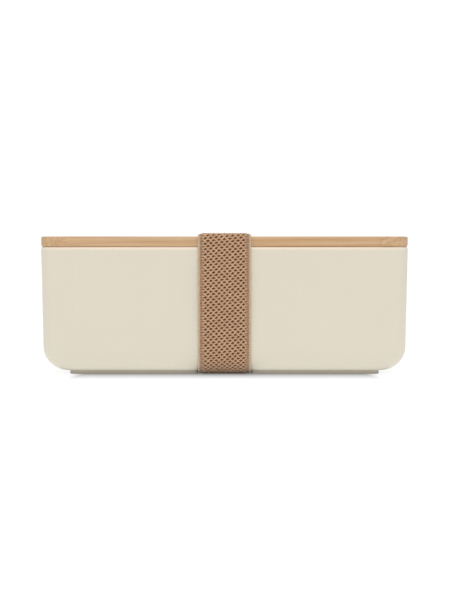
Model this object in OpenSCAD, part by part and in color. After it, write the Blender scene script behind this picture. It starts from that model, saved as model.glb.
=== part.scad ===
// Bento lunch box: a moulded container with a bamboo lid that is held down by an elastic mesh band.
// Millimetres. The origin is at the middle of the base, on the table. X is the length, -Y the front, +Z up.

/* [Container] */
// Length of the container over its rim
box_l = 185; // [165:1:205]
// Width of the container over its rim, front to back
box_w = 125; // [110:1:145]
// Height of the rim above the table
box_h = 64; // [56:0.5:74]
// Plan radius of the container's corners at the rim
corner_r = 18; // [17.5:0.5:24]
// Lean of the walls from the vertical, in degrees
draft = 1.2; // [0.8:0.1:1.6]
// Radius between the walls and the floor, outside
bottom_r = 12; // [10:0.5:13]
// Thickness of the walls and the floor
wall_t = 2.2; // [1.8:0.1:2.6]
// Radius of the rounded rim edges
rim_r = 0.8; // [0.4:0.1:0.8]

/* [Foot ring] */
// Height of the foot ring under the floor
foot_h = 2; // [2:0.1:3]
// Width of the foot ring
foot_t = 3; // [2:0.1:3]
// Distance from the rim in to the foot ring, in plan
foot_inset = 14.5; // [14:0.1:15]
// Radius of the foot ring's lower edges
foot_r = 0.5; // [0.3:0.1:0.8]

/* [Lid] */
// Thickness of the lid's visible board
board_t = 5.2; // [4:0.1:7]
// Distance from the rim's outside in to the board's edge
board_inset = 0.1; // [0:0.05:0.5]
// Radius of the board's upper edge
board_top_r = 0.8; // [0.5:0.1:1.5]
// Radius of the board's lower edge
board_low_r = 1; // [0.3:0.1:1.2]
// Depth of the plug that goes into the container
plug_h = 5; // [4.6:0.1:6]
// Clearance between the plug and the container's wall
plug_gap = 1.2; // [0.9:0.1:1.6]
// Number of bamboo staves that the lid is glued from
stave_count = 6; // [4:1:8]

/* [Seal] */
// Height of the seal and of its groove
seal_h = 3; // [2.4:0.1:3]
// Depth of the seal's groove
groove_d = 2.4; // [2:0.1:3]
// Thickness of each lip at its root
lip_t = 0.9; // [0.7:0.1:1]
// How far each lip's root reaches into the seal's core
lip_root = 0.2; // [0.1:0.05:0.5]
// Gap left between a lip and the wall
lip_gap = 0.15; // [0.1:0.05:0.3]

/* [Elastic band] */
// Width of the band
band_w = 26.5; // [20:0.5:32]
// Thickness of the band
band_t = 1.75; // [1.2:0.05:1.75]
// Gap between the band and the box
band_gap = 0.15; // [0.1:0.05:0.2]
// Gap beside the band where it passes through the foot ring
band_side_gap = 0.5; // [0.5:0.05:2]
// Height of the sewn lap at the back
lap_h = 14; // [10:0.5:18]
// Thickness that the lap adds, pressed flat by its stitches
lap_t = 1.1; // [0.8:0.1:1.4]
// Distance from the lap's edges in to the outer rows of stitches
seam_margin = 2; // [1.5:0.1:3]
// Diameter of the sewing thread
thread_d = 0.5; // [0.3:0.05:0.6]

/* [Divider] */
// Place of the divider along the length
divider_x = 20; // [-40:1:40]
// Thickness of the divider's wall and flange
divider_t = 1.6; // [1.2:0.1:2]
// Width of the divider's flange
flange_w = 12; // [8:0.5:16]
// Gap between the divider and the container
divider_gap = 0.35; // [0.3:0.05:0.6]
// Gap between the divider's top edge and the lid's plug
divider_drop = 2; // [1:0.5:12]

/* [Hidden] */
// Smoothness of the round edges
$fn = 96;
CREAM = [0.88, 0.85, 0.78];
BAMBOO = [0.80, 0.66, 0.50];
SILICONE = [0.92, 0.92, 0.90];
WEBBING = [0.60, 0.46, 0.34];
THREAD = [0.74, 0.62, 0.47];
FROSTED = [0.93, 0.92, 0.88];
// The corners of every layer are concentric: their axes stand this far from the middle
axis_x = box_l / 2 - corner_r;
axis_y = box_w / 2 - corner_r;
// The centre of the radius between wall and floor stands at this height
bend_z = foot_h + bottom_r;
// The rim's own section starts at this height
rim_low = box_h - 4 * rim_r;
lid_top = box_h + board_t;
plug_low = box_h - plug_h;
// Radii of the lid's layers about a corner axis
board_reach = corner_r - board_inset;
plug_reach = corner_r - wall_t - plug_gap;
groove_reach = plug_reach - groove_d;
groove_low = plug_low + (plug_h - seal_h) / 2;
stave_w = (box_w - 2 * board_inset) / stave_count;
// The band's top bend goes round the board's upper edge at this height
top_bend_z = lid_top - board_top_r;
top_bend_r = board_top_r + band_gap;
// The lap starts just above the bend of the wall
lap_low = bend_z + 1;
// The divider ends below the plug
divider_top = plug_low - divider_drop;

// Lengths in a section are kept to whole thousandths of a millimetre, so that arcs and walls meet exactly
function whole(x) = round(1000 * x) / 1000;

// How far out a leaning surface stands at a height: reach is where the wall's outside is at the rim,
// and inward is the surface's distance in from the wall's outside
function wall_x(reach, inward, z) = whole(reach - inward - (box_h - z) * tan(draft));
function wall_point(reach, inward, z) = [wall_x(reach, inward, z), z];

// The centre of the radius between wall and floor
function bend_centre(reach) = wall_point(reach, bottom_r, bend_z);

// A quarter of a disc or of a ring. At turn 0 it runs from +X to +Y
module quarter(centre, r_in, r_out, turn) {
    translate(centre) rotate(turn)
        intersection() {
            difference() {
                circle(r_out);
                if (r_in > 0) circle(r_in);
            }
            square(2 * r_out);
        }
}

// Half a section of a layer that follows floor, bend and wall, between two distances in from the outside
module wall_layer(reach, outer, inner, top_z) {
    translate([0, foot_h + outer]) square([bend_centre(reach)[0], inner - outer]);
    quarter(bend_centre(reach), bottom_r - inner, bottom_r - outer, -90);
    polygon([
        wall_point(reach, outer, bend_z),
        wall_point(reach, outer, top_z),
        wall_point(reach, inner, top_z),
        wall_point(reach, inner, bend_z)
    ]);
}

// A section swept round the box: X is the distance out from the corner axes and Y is the height
module swept() {
    for (sx = [-1, 1], sy = [-1, 1])
        translate([sx * axis_x, sy * axis_y, 0])
            rotate([0, 0, sx > 0 ? (sy > 0 ? 0 : -90) : (sy > 0 ? 90 : 180)])
                rotate_extrude(angle = 90) children();
    for (turn = [0, 180]) rotate([0, 0, turn]) {
        translate([axis_x, axis_y, 0])
            rotate([90, 0, 0]) linear_extrude(2 * axis_y) children();
        rotate([0, 0, 90]) translate([axis_y, axis_x, 0])
            rotate([90, 0, 0]) linear_extrude(2 * axis_x) children();
    }
}

// Fills the rectangle between the corner axes from one height to another
module middle_fill(low, high) {
    translate([-axis_x, -axis_y, low]) cube([2 * axis_x, 2 * axis_y, high - low]);
}

// A half section in the YZ plane, mirrored to both sides and extruded along X about the middle
module across(width) {
    rotate([90, 0, 90]) linear_extrude(width, center = true) {
        children();
        mirror([1, 0]) children();
    }
}

// The top of the wall, with both edges rounded
module rim_section() {
    z = box_h - rim_r;
    outer_centre = wall_point(corner_r, rim_r, z);
    inner_centre = wall_point(corner_r, wall_t - rim_r, z);
    polygon([
        wall_point(corner_r, 0, rim_low),
        outer_centre + [rim_r, 0],
        outer_centre,
        outer_centre + [0, rim_r],
        inner_centre + [0, rim_r],
        inner_centre,
        inner_centre - [rim_r, 0],
        wall_point(corner_r, wall_t, rim_low)
    ]);
    quarter(outer_centre, 0, rim_r, 0);
    quarter(inner_centre, 0, rim_r, 90);
}

// The foot ring's section: both lower edges are rounded, and it reaches halfway into the floor
module foot_section() {
    outside = corner_r - foot_inset;
    inside = outside - foot_t;
    top = foot_h + wall_t / 2;
    translate([inside, foot_r]) square([foot_t, top - foot_r]);
    translate([inside + foot_r, 0]) square([foot_t - 2 * foot_r, foot_r]);
    quarter([outside - foot_r, foot_r], 0, foot_r, -90);
    quarter([inside + foot_r, foot_r], 0, foot_r, 180);
}

// Foot ring, open at the front and the back where the band passes under the box
module foot_ring() {
    opening = band_w + 2 * band_side_gap;
    difference() {
        swept() foot_section();
        translate([-opening / 2, -box_w / 2, -1]) cube([opening, box_w, foot_h + wall_t]);
    }
}

// Moulded container: floor, walls, rim and foot ring in one piece
module container() {
    color(CREAM) {
        swept() {
            wall_layer(corner_r, 0, wall_t, rim_low);
            rim_section();
        }
        middle_fill(foot_h, foot_h + wall_t);
        foot_ring();
    }
}

// The lid's section: grooved plug below and rounded board above
module lid_section() {
    groove_top = groove_low + seal_h;
    low_centre = [board_reach - board_low_r, box_h + board_low_r];
    top_centre = [board_reach - board_top_r, lid_top - board_top_r];
    polygon([
        [0, plug_low],
        [plug_reach, plug_low],
        [plug_reach, groove_low],
        [groove_reach, groove_low],
        [groove_reach, groove_top],
        [plug_reach, groove_top],
        [plug_reach, box_h],
        low_centre - [0, board_low_r],
        low_centre,
        low_centre + [board_low_r, 0],
        top_centre + [board_top_r, 0],
        top_centre,
        top_centre + [0, board_top_r],
        [0, lid_top]
    ]);
    quarter(low_centre, 0, board_low_r, -90);
    quarter(top_centre, 0, board_top_r, 0);
}

// One bamboo stave, a lengthwise slice of the lid. Stave 1 is at the front
module lid_stave(n) {
    edge = -box_w / 2 + board_inset + (n - 1) * stave_w;
    color(BAMBOO * (n % 2 == 0 ? 0.96 : 1))
        intersection() {
            union() {
                swept() lid_section();
                middle_fill(plug_low, lid_top);
            }
            translate([-box_l, edge, 0]) cube([2 * box_l, stave_w, 2 * box_h]);
        }
}

// One lip of the seal, tapered towards the wall
module lip(z) {
    tip = wall_x(corner_r, wall_t + lip_gap, z);
    polygon([
        [plug_reach - lip_root, z - lip_t / 2],
        [tip, z - lip_t / 4],
        [tip, z + lip_t / 4],
        [plug_reach - lip_root, z + lip_t / 2]
    ]);
}

// Silicone seal ring: a core in the groove and two lips towards the container's wall
module lid_seal() {
    color(SILICONE)
        swept() {
            translate([groove_reach, groove_low]) square([groove_d, seal_h]);
            lip(groove_low + lip_t / 2);
            lip(groove_low + seal_h - lip_t / 2);
        }
}

// Removable divider: a wall across the box, with a flange that follows floor and walls
module divider() {
    reach = box_w / 2;
    outer = wall_t + divider_gap;
    inner = outer + divider_t;
    middle = outer + divider_t / 2;
    color(FROSTED)
        translate([divider_x, 0, 0]) {
            across(flange_w) wall_layer(reach, outer, inner, divider_top);
            across(divider_t) {
                polygon([
                    [0, foot_h + middle],
                    [bend_centre(reach)[0], foot_h + middle],
                    bend_centre(reach),
                    wall_point(reach, middle, bend_z),
                    wall_point(reach, middle, divider_top),
                    [0, divider_top]
                ]);
                quarter(bend_centre(reach), 0, bottom_r - middle, -90);
            }
        }
}

// Lower part of the elastic band: under the box and up both sides to the rim
module strap_lower() {
    color(WEBBING)
        across(band_w) wall_layer(box_w / 2, -band_gap - band_t, -band_gap, box_h);
}

// Upper part of the elastic band: from the rim over the lid
module strap_upper() {
    reach = box_w / 2;
    centre = wall_point(reach, top_bend_r - band_gap, top_bend_z);
    color(WEBBING)
        across(band_w) {
            translate([0, lid_top + band_gap]) square([centre[0], band_t]);
            quarter(centre, top_bend_r, top_bend_r + band_t, 0);
            polygon([
                wall_point(reach, -band_gap, box_h),
                wall_point(reach, -band_gap - band_t, box_h),
                wall_point(reach, -band_gap - band_t, top_bend_z),
                wall_point(reach, -band_gap, top_bend_z)
            ]);
        }
}

// A point on the back of the band, at a height and a distance out from the band's face
function lap_point(out, z) = wall_point(box_w / 2, -band_gap - band_t - out, z);

// Sewn lap: the band's outer end, laid over its other end low on the back
module seam_lap() {
    color(WEBBING)
        rotate([90, 0, 90]) linear_extrude(band_w, center = true)
            polygon([
                lap_point(0, lap_low),
                lap_point(lap_t, lap_low + lap_t / 2),
                lap_point(lap_t, lap_low + lap_h - lap_t / 2),
                lap_point(0, lap_low + lap_h)
            ]);
}

// Thread of the seam: rows of short stitches on the lap
module seam_stitches() {
    rows = 3;
    stitches = 8;
    pitch = band_w / (stitches + 0.5);
    stitch_l = 0.8 * pitch;
    row_step = (lap_h - 2 * seam_margin) / (rows - 1);
    color(THREAD)
        for (row = [0:rows - 1], k = [0:stitches - 1]) {
            at = lap_point(lap_t + thread_d / 2, lap_low + seam_margin + row * row_step);
            translate([(k - (stitches - 1) / 2) * pitch - stitch_l / 2, at[0], at[1]])
                rotate([0, 90, 0]) cylinder(d = thread_d, h = stitch_l, $fn = 24);
        }
}

container();
lid_seal();
divider();
strap_lower();
strap_upper();
seam_lap();
seam_stitches();
for (n = [1:stave_count]) {
    lid_stave(n);
}
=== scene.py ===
import math

import bpy
import numpy as np
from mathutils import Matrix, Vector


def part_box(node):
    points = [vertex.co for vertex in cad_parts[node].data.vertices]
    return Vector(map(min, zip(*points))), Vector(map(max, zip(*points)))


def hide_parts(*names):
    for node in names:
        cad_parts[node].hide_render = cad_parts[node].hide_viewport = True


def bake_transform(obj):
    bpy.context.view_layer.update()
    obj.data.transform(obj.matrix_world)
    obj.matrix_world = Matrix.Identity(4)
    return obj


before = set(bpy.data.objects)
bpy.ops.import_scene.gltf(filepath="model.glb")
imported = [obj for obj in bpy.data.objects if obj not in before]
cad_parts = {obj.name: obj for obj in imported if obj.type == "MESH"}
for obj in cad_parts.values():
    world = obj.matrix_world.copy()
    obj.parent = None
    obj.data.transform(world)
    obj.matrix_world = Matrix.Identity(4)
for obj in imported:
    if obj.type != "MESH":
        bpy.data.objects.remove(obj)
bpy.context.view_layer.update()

MM = 0.001

# ---- Places taken from the CAD model ----
BOX_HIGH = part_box("container")[1]
LID_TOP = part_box("lid_stave_1")[1].z
BAND_LOW, BAND_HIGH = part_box("strap_lower")
STAVES = sorted(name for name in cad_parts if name.startswith("lid_stave_"))

# ---- The box's section that the band goes round, as in the CAD model ----
WALL_LEAN = math.radians(1.2)
BOTTOM_R = 12 * MM
FOOT_H = 2 * MM
LID_EDGE_R = 0.8 * MM
# Half the box's depth at the rim, and the rim's height
RIM_HALF = 62.5 * MM
RIM_Z = 64 * MM
# How far the foot ring stands in from the box's widest outline
FOOT_INSET = 14.5 * MM

# ---- The band ----
BAND_HALF = (BAND_HIGH.x - BAND_LOW.x) / 2
# The height above the box at which lengths along the band are measured
MIDDLE = 1.0 * MM
# Distance between the columns of holes, and the wanted distance between holes in a column
COLUMN = 1.35 * MM
WANTED_CELL = 2.66 * MM
# The rows of holes slope a little across the band
ROW_TILT = math.tan(math.radians(5.5))
# Half the width of the cord along each edge, and where the border beside the net begins
SELVEDGE_HALF = 0.6 * MM
BORDER_IN = 10.45 * MM
# Heights of the layers above the box, and above the band where they belong to the lap
BACKING_LEVEL = 0.35 * MM
SELVEDGE_LEVEL = 0.7 * MM
BORDER_LEVEL = 0.85 * MM
NET_LEVEL = 1.2 * MM
LAP_BACKING_LEVEL = 0.75 * MM
LAP_SELVEDGE_LEVEL = 0.8 * MM
LAP_BORDER_LEVEL = 0.95 * MM
# Thickness of the backing and of the ground under the borders
GROUND_T = 0.3 * MM
# How far the band stands off the wall half way up, so that it clears the leaning wall when the lid lifts
STAND_OFF = 0.38 * MM
# The lap: how far its lower end is above the bottom bend, its length, how far it stands above the
# band, and the length at its upper end in which it rises from the band
LAP_FROM = 1 * MM
LAP_LENGTH = 14 * MM
LAP_RAISE = 1.1 * MM
LAP_RAMP = 2.5 * MM
# Strands of the net: half their width and thickness, points along each, how far they pass over and
# under each other, how far they swing sideways (in columns), and how unevenly they lie
STRAND_HALF_W = 0.42 * MM
STRAND_HALF_T = 0.34 * MM
STRAND_POINTS = 66
STRAND_LIFT = 0.24 * MM
STRAND_SWING = 0.10
STRAND_WANDER = 0.05 * MM

# ---- The bamboo ----
# How far the glue shows into a stave from its joint
GLUE_LINE = 0.25 * MM

# ---- The camera: its place, how far it looks down, in degrees, and its lens, in millimetres ----
CAMERA_AT = (0.27 * MM, -1.0, 67.45 * MM)
CAMERA_DOWN = 1.816
CAMERA_LENS = 113.54
SENSOR_WIDTH = 36

# ---- The studio ----
FLOOR_SIZE = 60
FLOOR_GREY = 0.15
# Half the size of the foot ring's outline
FOOT_X = BOX_HIGH.x - FOOT_INSET
FOOT_Y = BOX_HIGH.y - FOOT_INSET
# How strongly the table glows to the eye, and how strongly it lights the box
TABLE_GLOW = 0.88
TABLE_LIGHT = 1.07
# Where the table's glow rises beside the foot, for lighting the box and as it shows to the eye, where its
# dark part is a painted shadow: the ramp along X, the ramp along Y, and where the ramp along Y starts across
# the band
LIGHT_RAMPS = ((0, 8 * MM), (-4 * MM, 12 * MM), 6 * MM)
PAINTED_SHADOW_RAMPS = ((-13 * MM, 14 * MM), (-18 * MM, 57 * MM), -18 * MM)
# How bright the white surround is to the eye, and how strongly it lights the box
SURROUND_WHITE = 1.03
SURROUND_LIGHT = 0.38
# Softboxes: strength, spread, azimuth from the front and height above the horizon, in degrees
SOFTBOXES = {
    "key": (1.15, 10, 0, 40),
    "top": (1.1, 40, 0, 78),
    "left": (0.5, 50, -90, 15),
    "right": (0.5, 50, 90, 15),
    "back": (0.8, 50, 180, 30),
}

random = np.random.default_rng(7)


# ======== Camera, floor and light ========

def look_from_the_front():
    """The camera: level with the lid, a metre in front of the box's middle, and looking slightly down."""
    camera = bpy.data.cameras.new("camera")
    camera.lens = CAMERA_LENS
    camera.sensor_width = SENSOR_WIDTH
    camera.clip_start = 0.05
    holder = bpy.data.objects.new("camera", camera)
    bpy.context.scene.collection.objects.link(holder)
    holder.location = CAMERA_AT
    holder.rotation_euler = (math.radians(90 - CAMERA_DOWN), 0, 0)
    bpy.context.scene.camera = holder


def glow_beside_the_foot(made, strength, along_x, along_y, band_start):
    """How strongly the floor glows: not at all inside the foot, and fully past a ramp along X or Y.
    Each ramp is where it starts, out from the foot's outside, and its width. Across the band the
    ramp along Y starts elsewhere, because the band comes down to the floor there."""
    nodes, links = made.node_tree.nodes, made.node_tree.links

    def maths(operation):
        node = nodes.new("ShaderNodeMath")
        node.operation = operation
        return node

    place = nodes.new("ShaderNodeTexCoord")
    parts = nodes.new("ShaderNodeSeparateXYZ")
    links.new(place.outputs["Object"], parts.inputs["Vector"])
    sizes = {}
    for axis in ("X", "Y"):
        size = maths("ABSOLUTE")
        links.new(parts.outputs[axis], size.inputs[0])
        sizes[axis] = size.outputs["Value"]
    # Across the band, every distance along Y counts as less by how much later the ramp starts
    by_the_band = maths("LESS_THAN")
    by_the_band.inputs[1].default_value = BAND_HALF + MM
    links.new(sizes["X"], by_the_band.inputs[0])
    later = maths("MULTIPLY_ADD")
    later.inputs[1].default_value = along_y[0] - band_start
    links.new(by_the_band.outputs["Value"], later.inputs[0])
    links.new(sizes["Y"], later.inputs[2])
    sizes["Y"] = later.outputs["Value"]
    larger = maths("MAXIMUM")
    for index, (axis, foot, (start, width)) in enumerate((("X", FOOT_X, along_x), ("Y", FOOT_Y, along_y))):
        ramp = nodes.new("ShaderNodeMapRange")
        ramp.interpolation_type = "SMOOTHSTEP" if axis == "X" else "LINEAR"
        ramp.inputs["From Min"].default_value = foot + start
        ramp.inputs["From Max"].default_value = foot + start + width
        ramp.inputs["To Max"].default_value = strength
        links.new(sizes[axis], ramp.inputs["Value"])
        links.new(ramp.outputs["Result"], larger.inputs[index])
    return larger.outputs["Value"]


def light_table(made):
    """Makes the floor a light table. To the eye it shows a wide soft painted shadow beside the foot, but it
    lights the box from close to it.
    """
    nodes, links = made.node_tree.nodes, made.node_tree.links
    shader = nodes["Principled BSDF"]
    seen = nodes.new("ShaderNodeLightPath")
    choice = nodes.new("ShaderNodeMix")
    links.new(seen.outputs["Is Camera Ray"], choice.inputs[0])
    lighting = glow_beside_the_foot(made, TABLE_LIGHT, *LIGHT_RAMPS)
    # Painted shadow: to the eye the glow stays dark in a wide band beside the foot, wider than any shadow
    # that the lights cast.
    painted_shadow_glow = glow_beside_the_foot(made, TABLE_GLOW, *PAINTED_SHADOW_RAMPS)
    links.new(lighting, choice.inputs[2])
    links.new(painted_shadow_glow, choice.inputs[3])
    links.new(choice.outputs[0], shader.inputs["Emission Strength"])
    shader.inputs["Emission Color"].default_value = (1, 1, 1, 1)
    made.cycles.emission_sampling = "NONE"


def softbox(name, strength, spread, azimuth, height):
    """A broad, far light. Its spread, its azimuth from the front and its height are in degrees."""
    light = bpy.data.lights.new(name, "SUN")
    light.energy = strength
    light.angle = math.radians(spread)
    holder = bpy.data.objects.new(name, light)
    bpy.context.scene.collection.objects.link(holder)
    holder.rotation_euler = (math.radians(90 - height), 0, math.radians(azimuth))


def plain_studio():
    """A pale light table without a visible end, a white surround, and softboxes round the object."""
    bpy.ops.mesh.primitive_plane_add(size=FLOOR_SIZE)
    floor = bpy.context.object
    floor.name = "floor"
    made = bpy.data.materials.new("floor")
    made.use_nodes = True
    shader = made.node_tree.nodes["Principled BSDF"]
    shader.inputs["Base Color"].default_value = (FLOOR_GREY, FLOOR_GREY, FLOOR_GREY, 1)
    shader.inputs["Roughness"].default_value = 0.9
    shader.inputs["Specular IOR Level"].default_value = 0.1
    light_table(made)
    floor.data.materials.append(made)

    # The surround shows as pure white, but lights the object less than that
    world = bpy.data.worlds.new("surround")
    world.use_nodes = True
    nodes, links = world.node_tree.nodes, world.node_tree.links
    seen = nodes.new("ShaderNodeLightPath")
    strength = nodes.new("ShaderNodeMapRange")
    strength.inputs["To Min"].default_value = SURROUND_LIGHT
    strength.inputs["To Max"].default_value = SURROUND_WHITE
    links.new(seen.outputs["Is Camera Ray"], strength.inputs["Value"])
    links.new(strength.outputs["Result"], nodes["Background"].inputs["Strength"])
    nodes["Background"].inputs["Color"].default_value = (1, 1, 1, 1)
    bpy.context.scene.world = world
    for name, settings in SOFTBOXES.items():
        softbox(name, *settings)
    bpy.context.scene.view_settings.view_transform = "Standard"


# ======== Materials ========

def linear(red, green, blue):
    """A colour given as screen values from 0 to 255, as the linear colour that a shader takes."""
    def one(c):
        c = c / 255
        return c / 12.92 if c <= 0.04045 else ((c + 0.055) / 1.055) ** 2.4
    return (one(red), one(green), one(blue), 1)


class Look:
    """A material being built: short names for the nodes that the materials below share."""

    def __init__(self, name, roughness, specular=0.5):
        self.made = bpy.data.materials.new(name)
        self.made.use_nodes = True
        self.nodes = self.made.node_tree.nodes
        self.links = self.made.node_tree.links
        self.shader = self.nodes["Principled BSDF"]
        self.shader.inputs["Roughness"].default_value = roughness
        self.shader.inputs["Specular IOR Level"].default_value = specular

    def place(self, scale, attribute=None):
        """Coordinates in metres, or a mesh attribute, times a scale along each axis."""
        if attribute:
            source = self.nodes.new("ShaderNodeAttribute")
            source.attribute_name = attribute
            out = source.outputs["Vector"]
        else:
            out = self.nodes.new("ShaderNodeTexCoord").outputs["Object"]
        mapping = self.nodes.new("ShaderNodeMapping")
        mapping.inputs["Scale"].default_value = scale
        self.links.new(out, mapping.inputs["Vector"])
        return mapping.outputs["Vector"]

    def along(self, axis):
        """The distance from the origin along one axis of the frame, in metres."""
        parts = self.nodes.new("ShaderNodeSeparateXYZ")
        self.links.new(self.place((1, 1, 1)), parts.inputs["Vector"])
        return parts.outputs[axis]

    def noise(self, vector, detail=4):
        """Smooth noise with about one feature to each unit of its coordinates."""
        node = self.nodes.new("ShaderNodeTexNoise")
        node.inputs["Scale"].default_value = 1
        node.inputs["Detail"].default_value = detail
        self.links.new(vector, node.inputs["Vector"])
        return node.outputs["Fac"]

    def wave(self, vector, scale, direction="X"):
        """Even waves along one direction."""
        node = self.nodes.new("ShaderNodeTexWave")
        node.bands_direction = direction
        node.inputs["Scale"].default_value = scale
        self.links.new(vector, node.inputs["Vector"])
        return node.outputs["Fac"]

    def ramp(self, value, low, high, out_low=0.0, out_high=1.0):
        """Stretches a value from one range to another, and holds it there at both ends."""
        node = self.nodes.new("ShaderNodeMapRange")
        node.inputs["From Min"].default_value = low
        node.inputs["From Max"].default_value = high
        node.inputs["To Min"].default_value = out_low
        node.inputs["To Max"].default_value = out_high
        self.links.new(value, node.inputs["Value"])
        return node.outputs["Result"]

    def mix(self, factor, first, second):
        """Mixes two colours, each a colour or another node's output."""
        node = self.nodes.new("ShaderNodeMix")
        node.data_type = "RGBA"
        for socket, value in ((node.inputs[0], factor), (node.inputs[6], first), (node.inputs[7], second)):
            if hasattr(value, "is_linked"):
                self.links.new(value, socket)
            else:
                socket.default_value = value
        return node.outputs[2]

    def bump(self, height, depth, strength=1.0):
        """Adds a height to the surface's normal, on top of what was added before."""
        node = self.nodes.new("ShaderNodeBump")
        node.inputs["Distance"].default_value = depth
        node.inputs["Strength"].default_value = strength
        self.links.new(height, node.inputs["Height"])
        before = self.shader.inputs["Normal"]
        if before.is_linked:
            self.links.new(before.links[0].from_socket, node.inputs["Normal"])
        self.links.new(node.outputs["Normal"], before)

    def colour(self, output):
        self.links.new(output, self.shader.inputs["Base Color"])

    def roughness(self, output):
        self.links.new(output, self.shader.inputs["Roughness"])

    def lets_light_in(self, weight, radius, depth):
        """Subsurface scattering: how much, how far each colour goes, and the depth in metres."""
        self.shader.inputs["Subsurface Weight"].default_value = weight
        self.shader.inputs["Subsurface Radius"].default_value = radius
        self.shader.inputs["Subsurface Scale"].default_value = depth


def cream_plastic():
    """Satin moulded plastic: a fine spark-eroded texture, slight unevenness of tone, and a painted
    highlight, a paler band just below the rim.
    """
    look = Look("cream_plastic", 0.42, 0.5)
    clouds = look.noise(look.place((22, 22, 22)), detail=3)
    tone = look.mix(clouds, linear(206, 199, 181), linear(210, 203, 187))
    # Painted highlight: the colour turns paler in a band just below the rim's height, in place of the light
    # that the rim's rounded edge catches.
    painted_rim_highlight = look.ramp(look.along("Z"), RIM_Z - 1.9 * MM, RIM_Z - 1.1 * MM)
    tone = look.mix(painted_rim_highlight, tone, linear(223, 209, 190))
    speck = look.noise(look.place((1800, 1800, 1800)), detail=2)
    look.colour(look.mix(look.ramp(speck, 0.3, 0.8, 0, 0.25), tone, linear(196, 188, 169)))
    look.roughness(look.ramp(look.noise(look.place((60, 60, 60))), 0.3, 0.7, 0.38, 0.46))
    look.bump(speck, 0.02 * MM, 0.25)
    look.bump(look.noise(look.place((35, 35, 20)), detail=1), 0.15 * MM, 0.2)
    look.lets_light_in(0.06, (1.0, 0.8, 0.6), 1 * MM)
    return look.made


def frosted_plastic():
    """Milky plastic of the divider, with a fine matt texture."""
    look = Look("frosted_plastic", 0.5, 0.4)
    grain = look.noise(look.place((1400, 1400, 1400)), detail=2)
    look.colour(look.mix(grain, linear(226, 224, 214), linear(236, 235, 228)))
    look.bump(grain, 0.03 * MM, 0.3)
    look.lets_light_in(0.3, (1.0, 0.95, 0.85), 2 * MM)
    return look.made


def silicone():
    """Soft translucent white silicone with a dusty, matt face."""
    look = Look("silicone", 0.55, 0.35)
    dust = look.noise(look.place((500, 500, 500)), detail=3)
    look.colour(look.mix(dust, linear(232, 232, 226), linear(244, 244, 240)))
    look.roughness(look.ramp(dust, 0.3, 0.7, 0.45, 0.65))
    look.bump(dust, 0.02 * MM, 0.3)
    look.lets_light_in(0.25, (1.0, 0.97, 0.9), 1 * MM)
    return look.made


def bamboo(name, shift, warmth, low_y, high_y):
    """One stave: fibres along X, fine dark vessels, slow changes of hue, a growth node across it,
    and a dark glue line along each joint, at low_y and high_y. shift makes each stave different."""
    look = Look(name, 0.5, 0.35)
    along = look.place((9, 600, 600))
    along.node.inputs["Location"].default_value = (shift, 3 * shift, 7 * shift)
    fine = look.place((24, 2300, 2300))
    fine.node.inputs["Location"].default_value = (shift, shift, shift)
    slow = look.noise(look.place((14 + shift, 45, 45)), detail=2)
    pale = linear(202 + warmth, 173, 137 - warmth)
    deep = linear(176 + warmth, 138, 98 - warmth)
    tone = look.mix(look.ramp(look.noise(along, detail=3), 0.25, 0.75), deep, pale)
    tone = look.mix(look.ramp(slow, 0.35, 0.65, 0, 0.5), tone, linear(190, 153, 114))
    fibres = look.noise(fine, detail=2)
    tone = look.mix(look.ramp(fibres, 0.5, 0.72, 0, 0.65), tone, linear(158, 119, 82))
    # The growth nodes: narrow darker bands across the stave, about 24 cm apart
    dark = linear(142, 101, 68)
    rings = look.wave(look.place((1, 0, 0)), 1.3)
    rings.node.inputs["Phase Offset"].default_value = 1.7 * shift
    mark = look.ramp(rings, 0.9993, 1.0, 0, 0.4)
    tone = look.mix(mark, tone, dark)
    across = look.along("Y")
    for joint, inward in ((low_y, 1), (high_y, -1)):
        line = look.ramp(across, joint, joint + inward * GLUE_LINE, 0.55, 0)
        tone = look.mix(line, tone, dark)
    look.colour(tone)
    look.roughness(look.ramp(fibres, 0.3, 0.7, 0.42, 0.6))
    look.bump(fibres, 0.04 * MM, 0.5)
    look.bump(look.noise(along, detail=2), 0.05 * MM, 0.3)
    return look.made


def knitted(name, pale, deep, twist, roughness=0.8):
    """Textured polyester yarn: plies that twist along the strand, tone that changes from place to place."""
    look = Look(name, roughness, 0.25)
    ply = look.wave(look.place((1, 1, 1), "yarn"), twist, "DIAGONAL")
    patch = look.noise(look.place((900, 900, 900), "strap"), detail=3)
    tone = look.mix(look.ramp(patch, 0.3, 0.7), deep, pale)
    look.colour(look.mix(look.ramp(ply, 0, 1, 0.35, 0), tone, deep))
    look.bump(ply, 0.05 * MM, 0.6)
    hairs = look.noise(look.place((6000, 6000, 6000), "strap"), detail=2)
    look.bump(hairs, 0.03 * MM, 0.5)
    look.shader.inputs["Sheen Weight"].default_value = 0.5
    look.shader.inputs["Sheen Roughness"].default_value = 0.5
    return look.made


# ======== The band's own space: u across, v along the loop, n out from the box ========

BEND_Z = FOOT_H + BOTTOM_R
TOP_BEND_Z = LID_TOP - LID_EDGE_R
WALL_FOOT = RIM_HALF - (RIM_Z - BEND_Z) * math.tan(WALL_LEAN)
BEND_Y = WALL_FOOT - BOTTOM_R
TOP_BEND_Y = RIM_HALF + (TOP_BEND_Z - RIM_Z) * math.tan(WALL_LEAN) - LID_EDGE_R
# Lengths of the stretches of half the loop, from under the box to the middle of the lid
STRETCHES = (
    BEND_Y,
    (BOTTOM_R + MIDDLE) * math.pi / 2,
    (TOP_BEND_Z - BEND_Z) / math.cos(WALL_LEAN),
    (LID_EDGE_R + MIDDLE) * math.pi / 2,
    TOP_BEND_Y,
)
STARTS = np.cumsum((0,) + STRETCHES)
HALF_LOOP = STARTS[-1]
LOOP = 2 * HALF_LOOP
ROWS = round(LOOP / WANTED_CELL)
ROW = LOOP / (2 * ROWS)


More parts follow.
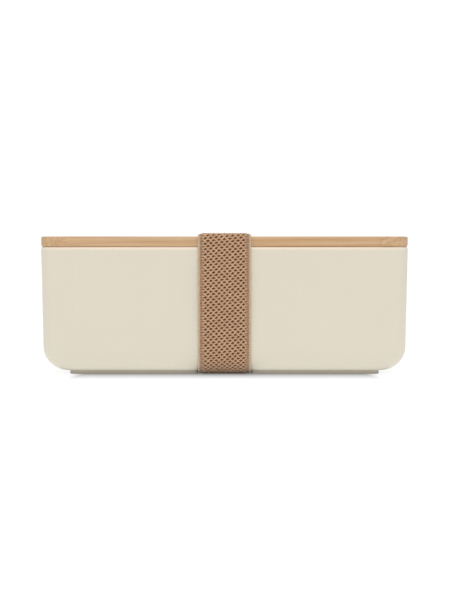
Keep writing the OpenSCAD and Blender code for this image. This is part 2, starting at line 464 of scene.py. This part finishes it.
def on_the_box(points):
    """Strap-space points as points in the frame. Along v, the front comes first, then lid and back."""
    u, v, n = points[..., 0], points[..., 1] % LOOP, points[..., 2]
    back = v > HALF_LOOP
    s = np.where(back, LOOP - v, v)
    low_turn = (s - STARTS[1]) / (BOTTOM_R + MIDDLE)
    wall_z = BEND_Z + (s - STARTS[2]) * math.cos(WALL_LEAN)
    wall_share = np.clip((s - STARTS[2]) / STRETCHES[2], 0, 1)
    wall_n = n + STAND_OFF * np.sin(math.pi * wall_share) ** 2
    top_turn = (s - STARTS[3]) / (LID_EDGE_R + MIDDLE)
    places = (
        (s, FOOT_H - n),
        (BEND_Y + (BOTTOM_R + n) * np.sin(low_turn), BEND_Z - (BOTTOM_R + n) * np.cos(low_turn)),
        (WALL_FOOT + wall_n + (wall_z - BEND_Z) * math.tan(WALL_LEAN), wall_z),
        (TOP_BEND_Y + (LID_EDGE_R + n) * np.cos(top_turn), TOP_BEND_Z + (LID_EDGE_R + n) * np.sin(top_turn)),
        (HALF_LOOP - s, LID_TOP + n),
    )
    inside = [s < STARTS[k + 1] for k in range(4)]
    y = np.select(inside, [place[0] for place in places[:4]], places[4][0])
    z = np.select(inside, [place[1] for place in places[:4]], places[4][1])
    return np.stack([u, np.where(back, y, -y), z], axis=-1)


# Where the lap lies along v. Behind the box v runs downwards, so its upper end comes first
LAP_HIGH = LOOP - STARTS[2] - LAP_FROM
LAP_LOW = LAP_HIGH - LAP_LENGTH


def lap_rise(v):
    """How far the lap's layer stands above the band: it leaves the band gently at its upper end."""
    share = np.clip((v - LAP_LOW) / LAP_RAMP, 0, 1)
    least = 0.04 * MM
    return least + LAP_RAISE * share * share * (3 - 2 * share)


def oval(half_w, half_t, sides, squareness=1.0):
    """A closed section of a strand, starting at its underside: offsets across and out."""
    angle = 2 * math.pi * np.arange(sides) / sides - math.pi / 2
    across = np.sign(np.cos(angle)) * np.abs(np.cos(angle)) ** squareness
    out = np.sign(np.sin(angle)) * np.abs(np.sin(angle)) ** squareness
    return np.stack([half_w * across, half_t * out], axis=-1)


def strands(centres, section, thickness=None, closed=False):
    """Tubes of one section along rows of strap-space points: (vertices, faces, yarn coordinates).
    thickness is a factor at each point along a row. A closed row's end meets its start."""
    rows, count = centres.shape[:2]
    sides = len(section)
    ahead = np.roll(centres, -1, axis=1) - np.roll(centres, 1, axis=1)
    if closed:
        ahead[..., 1] = (ahead[..., 1] + LOOP / 2) % LOOP - LOOP / 2
    else:
        ahead[:, 0] = centres[:, 1] - centres[:, 0]
        ahead[:, -1] = centres[:, -1] - centres[:, -2]
    flat = ahead[..., :2] / np.linalg.norm(ahead[..., :2], axis=-1, keepdims=True)
    side = np.stack([flat[..., 1], -flat[..., 0], np.zeros((rows, count))], axis=-1)
    factor = np.ones(count) if thickness is None else np.asarray(thickness)
    width = section[:, 0][None, None, :, None] * factor[None, :, None, None]
    height = section[:, 1][None, None, :, None] * factor[None, :, None, None]
    points = centres[:, :, None] + side[:, :, None] * width + np.array([0, 0, 1.0]) * height
    step = np.linalg.norm(np.diff(centres, axis=1), axis=-1)
    run = np.concatenate([np.zeros((rows, 1)), np.cumsum(step, axis=1)], axis=1)
    yarn = np.zeros((rows, count, sides, 3))
    yarn[..., 0] = run[:, :, None] / MM
    yarn[..., 1] = np.arange(sides)[None, None, :] / sides
    index = np.arange(rows * count * sides).reshape(rows, count, sides)
    here = index if closed else index[:, :-1]
    there = np.roll(index, -1, axis=1) if closed else index[:, 1:]
    quads = np.stack([here, there, np.roll(there, -1, axis=2), np.roll(here, -1, axis=2)], axis=-1)
    faces = quads.reshape(-1, 4).tolist()
    if not closed:
        faces += index[:, 0].tolist() + index[:, -1, ::-1].tolist()
    return points.reshape(-1, 3), faces, yarn.reshape(-1, 3)


def band_piece(name, parts, look):
    """One mesh from several sets of strands, with the strap and yarn coordinates that its material reads."""
    points = np.concatenate([part[0] for part in parts])
    yarn = np.concatenate([part[2] for part in parts])
    faces = []
    first = 0
    for part in parts:
        faces += [[first + corner for corner in face] for face in part[1]]
        first += len(part[0])
    mesh = bpy.data.meshes.new(name)
    mesh.from_pydata(on_the_box(points).tolist(), [], faces)
    for attribute, values in (("strap", points), ("yarn", yarn)):
        mesh.attributes.new(attribute, "FLOAT_VECTOR", "POINT").data.foreach_set("vector", values.ravel())
    mesh.polygons.foreach_set("use_smooth", [True] * len(mesh.polygons))
    mesh.materials.append(look)
    piece = bpy.data.objects.new(name, mesh)
    bpy.context.scene.collection.objects.link(piece)
    return piece


# ======== What the band is knitted from ========

def net(direction, level, lap=False):
    """The strands of the open net that lean one way. Each passes over and under those of the other way."""
    half_columns = BORDER_IN / COLUMN + 0.25
    # Over the lap, more strands are tried than it needs, and those that hardly cross it are left out
    spare = 12
    shortest = 0.6
    if not lap:
        spans = [(-half_columns, half_columns, k) for k in range(ROWS)]
    else:
        spans = []
        for k in range(int(LAP_LOW / ROW / 2) - spare, int(LAP_HIGH / ROW / 2) + spare):
            ends = sorted(((v / ROW - 2 * k) * direction for v in (LAP_LOW, LAP_HIGH)))
            ends = (max(-half_columns, ends[0]), min(half_columns, ends[1]))
            if ends[1] - ends[0] > shortest:
                spans.append((*ends, k))
    crossings = np.arange(-9, 10)
    rows = []
    for low, high, k in spans:
        i = np.linspace(low, high, STRAND_POINTS)
        j = direction * (i + STRAND_SWING * np.sin(2 * math.pi * i)) + 2 * k
        n = level + STRAND_LIFT * direction * np.cos(math.pi * i)
        wander = STRAND_WANDER * np.interp(i, crossings, random.standard_normal(len(crossings)))
        u = i * COLUMN
        v = j * ROW + u * ROW_TILT + wander
        if lap:
            v = np.clip(v, LAP_LOW, LAP_HIGH)
            n = n + lap_rise(v)
        rows.append(np.stack([u, v, n], axis=-1))
    return strands(np.array(rows), oval(STRAND_HALF_W, STRAND_HALF_T, 8, 0.9))


def along_the_band(u, level, section, pulse=0.0, steps=2, lap=False):
    """A cord or a thin strip that runs round the band, or along the lap, a little thicker at each stitch."""
    if lap:
        v = np.linspace(LAP_LOW, LAP_HIGH, steps * round(LAP_LENGTH / ROW) + 1)
        n = level + lap_rise(v)
    else:
        v = np.arange(2 * ROWS * steps) * ROW / steps
        n = np.full(len(v), level)
    centre = np.stack([np.full(len(v), u), v, n], axis=-1)[None]
    return strands(centre, section, 1 + pulse * np.cos(2 * math.pi * v / ROW), not lap)


def border(side, level, lap=False):
    """The close-knitted border beside the net: two columns of slanted loops."""
    first, last = (math.ceil(LAP_LOW / ROW), int(LAP_HIGH / ROW)) if lap else (0, 2 * ROWS)
    middle = (BORDER_IN + BAND_HALF - 2 * SELVEDGE_HALF) / 2
    # Each loop's half length across and along the band, half the columns' distance, the loop's crown,
    # and its unevenness
    reach = 0.55 * MM
    slant = 0.45 * MM
    apart = 0.5 * MM
    crown = 0.16 * MM
    uneven = 0.04 * MM
    t = np.linspace(-1, 1, 6)
    rows = []
    for column, lean in ((-1, 1), (1, -1)):
        for k in range(first, last):
            u = side * (middle + column * apart) + t * reach
            v = (k + 0.5) * ROW + lean * side * t * slant + u * ROW_TILT
            n = level + crown * (1 - t * t) + uneven * random.standard_normal()
            if lap:
                n = n + lap_rise(v)
            rows.append(np.stack([u, v, n], axis=-1))
    rounded = np.sqrt(np.clip(1 - (0.8 * t) ** 2, 0, 1))
    return strands(np.array(rows), oval(0.54 * MM, 0.36 * MM, 6), rounded)


def strip(half_w, thickness):
    """The section of a thin, flat strip."""
    half_t = thickness / 2
    return np.array([[half_w, -half_t], [half_w, half_t], [-half_w, half_t], [-half_w, -half_t]])


def borders(level, lap=False):
    """Both borders, each on a thin ground of the same yarn."""
    half_w = (BAND_HALF - 2 * SELVEDGE_HALF - BORDER_IN) / 2
    parts = []
    for side in (-1, 1):
        parts.append(border(side, level, lap))
        ground = strip(half_w, GROUND_T)
        parts.append(along_the_band(side * (BORDER_IN + half_w), level - 0.1 * MM, ground, lap=lap))
    return parts


def hem():
    """The band's outer end, folded under: a soft roll across the lap's lower end."""
    stitch = 2 * math.pi / COLUMN
    u = np.linspace(-1, 1, 61) * (BAND_HALF - 0.3 * MM)
    v = LAP_HIGH + 0.08 * MM * np.sin(stitch * u)
    n = np.full_like(u, MIDDLE + LAP_RAISE - 0.1 * MM)
    thickness = 1 + 0.08 * np.cos(stitch * u)
    return strands(np.stack([u, v, n], axis=-1)[None], oval(0.7 * MM, 0.75 * MM, 12), thickness)


def seam_thread():
    """Three rows of stitches through the lap, each stitch a short arch."""
    stitches = 8
    pitch = 2 * BAND_HALF / (stitches + 0.5)
    under, rise = 2.2 * MM, 0.85 * MM
    t = np.linspace(-1, 1, 9)
    rows = []
    for v in np.linspace(LAP_LOW + 3.5 * MM, LAP_HIGH - 2 * MM, 3):
        for k in range(stitches):
            u = (k - (stitches - 1) / 2) * pitch + t * 0.4 * pitch
            n = under + rise * np.sqrt(np.clip(1 - t ** 4, 0, 1))
            rows.append(np.stack([u, np.full_like(t, v), n], axis=-1))
    return strands(np.array(rows), oval(0.25 * MM, 0.25 * MM, 10))


def elastic_band():
    """The whole band: backing, net, borders, selvedges, and the sewn lap low on the back."""
    strand_look = knitted("net_yarn", linear(202, 166, 133), linear(170, 131, 97), 0.9)
    border_look = knitted("border_yarn", linear(178, 144, 113), linear(153, 118, 89), 0.9)
    selvedge_look = knitted("selvedge_yarn", linear(193, 173, 148), linear(173, 151, 125), 0.6)
    backing_look = knitted("backing_yarn", linear(168, 116, 76), linear(132, 88, 56), 0.5, 0.9)
    thread_look = knitted("seam_thread", linear(222, 198, 166), linear(198, 170, 138), 2.0, 0.6)
    cord_u = BAND_HALF - SELVEDGE_HALF
    cord_section = oval(SELVEDGE_HALF, 0.48 * MM, 10)
    ground = strip(cord_u, GROUND_T)
    backing = band_piece("band_backing", [along_the_band(0, BACKING_LEVEL, ground)], backing_look)
    rising = band_piece("band_net_rising", [net(1, NET_LEVEL)], strand_look)
    falling = band_piece("band_net_falling", [net(-1, NET_LEVEL)], strand_look)
    edges = band_piece("band_borders", borders(BORDER_LEVEL), border_look)
    cords = [along_the_band(side * cord_u, SELVEDGE_LEVEL, cord_section, 0.05, 3) for side in (-1, 1)]
    cords = band_piece("band_selvedges", cords, selvedge_look)
    lap_net = band_piece("lap_net", [net(way, NET_LEVEL, True) for way in (1, -1)], strand_look)
    lap_backing = [along_the_band(0, LAP_BACKING_LEVEL, ground, lap=True)]
    lap_backing = band_piece("lap_backing", lap_backing, backing_look)
    lap_edges = band_piece("lap_borders", borders(LAP_BORDER_LEVEL, True) + [hem()], border_look)
    lap_cords = [
        along_the_band(side * cord_u, LAP_SELVEDGE_LEVEL, cord_section, 0.05, 3, True) for side in (-1, 1)
    ]
    lap_cords = band_piece("lap_selvedges", lap_cords, selvedge_look)
    thread = band_piece("lap_stitching", [seam_thread()], thread_look)
    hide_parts("strap_lower", "strap_upper")
    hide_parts("seam_lap")
    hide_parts("seam_stitches")
    knit = [rising, falling, edges, cords, lap_net, lap_backing, lap_edges, lap_cords]
    for piece in [backing, *knit, thread]:
        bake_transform(piece)


# ======== Looks of the CAD parts ========

def dress(name, look):
    """Gives a CAD node its material."""
    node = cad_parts[name]
    node.data.materials.clear()
    node.data.materials.append(look)


def hard_parts():
    """The materials of the container, the divider, the seal and the lid's staves."""
    dress("container", cream_plastic())
    dress("divider", frosted_plastic())
    dress("lid_seal", silicone())
    # How much warmer than the mean each stave is, in screen values
    warmths = (0, -4, 3, -2, 4, -5)
    for k, name in enumerate(STAVES):
        low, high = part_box(name)
        # The outer staves' outer edges have no joint, so their glue lines are put past them
        low_y = low.y if k else low.y - MM
        high_y = high.y if name != STAVES[-1] else high.y + MM
        shift = 1.37 * k + 0.4
        dress(name, bamboo("bamboo_" + name[-1], shift, warmths[k % len(warmths)], low_y, high_y))


look_from_the_front()
plain_studio()
hard_parts()
elastic_band()
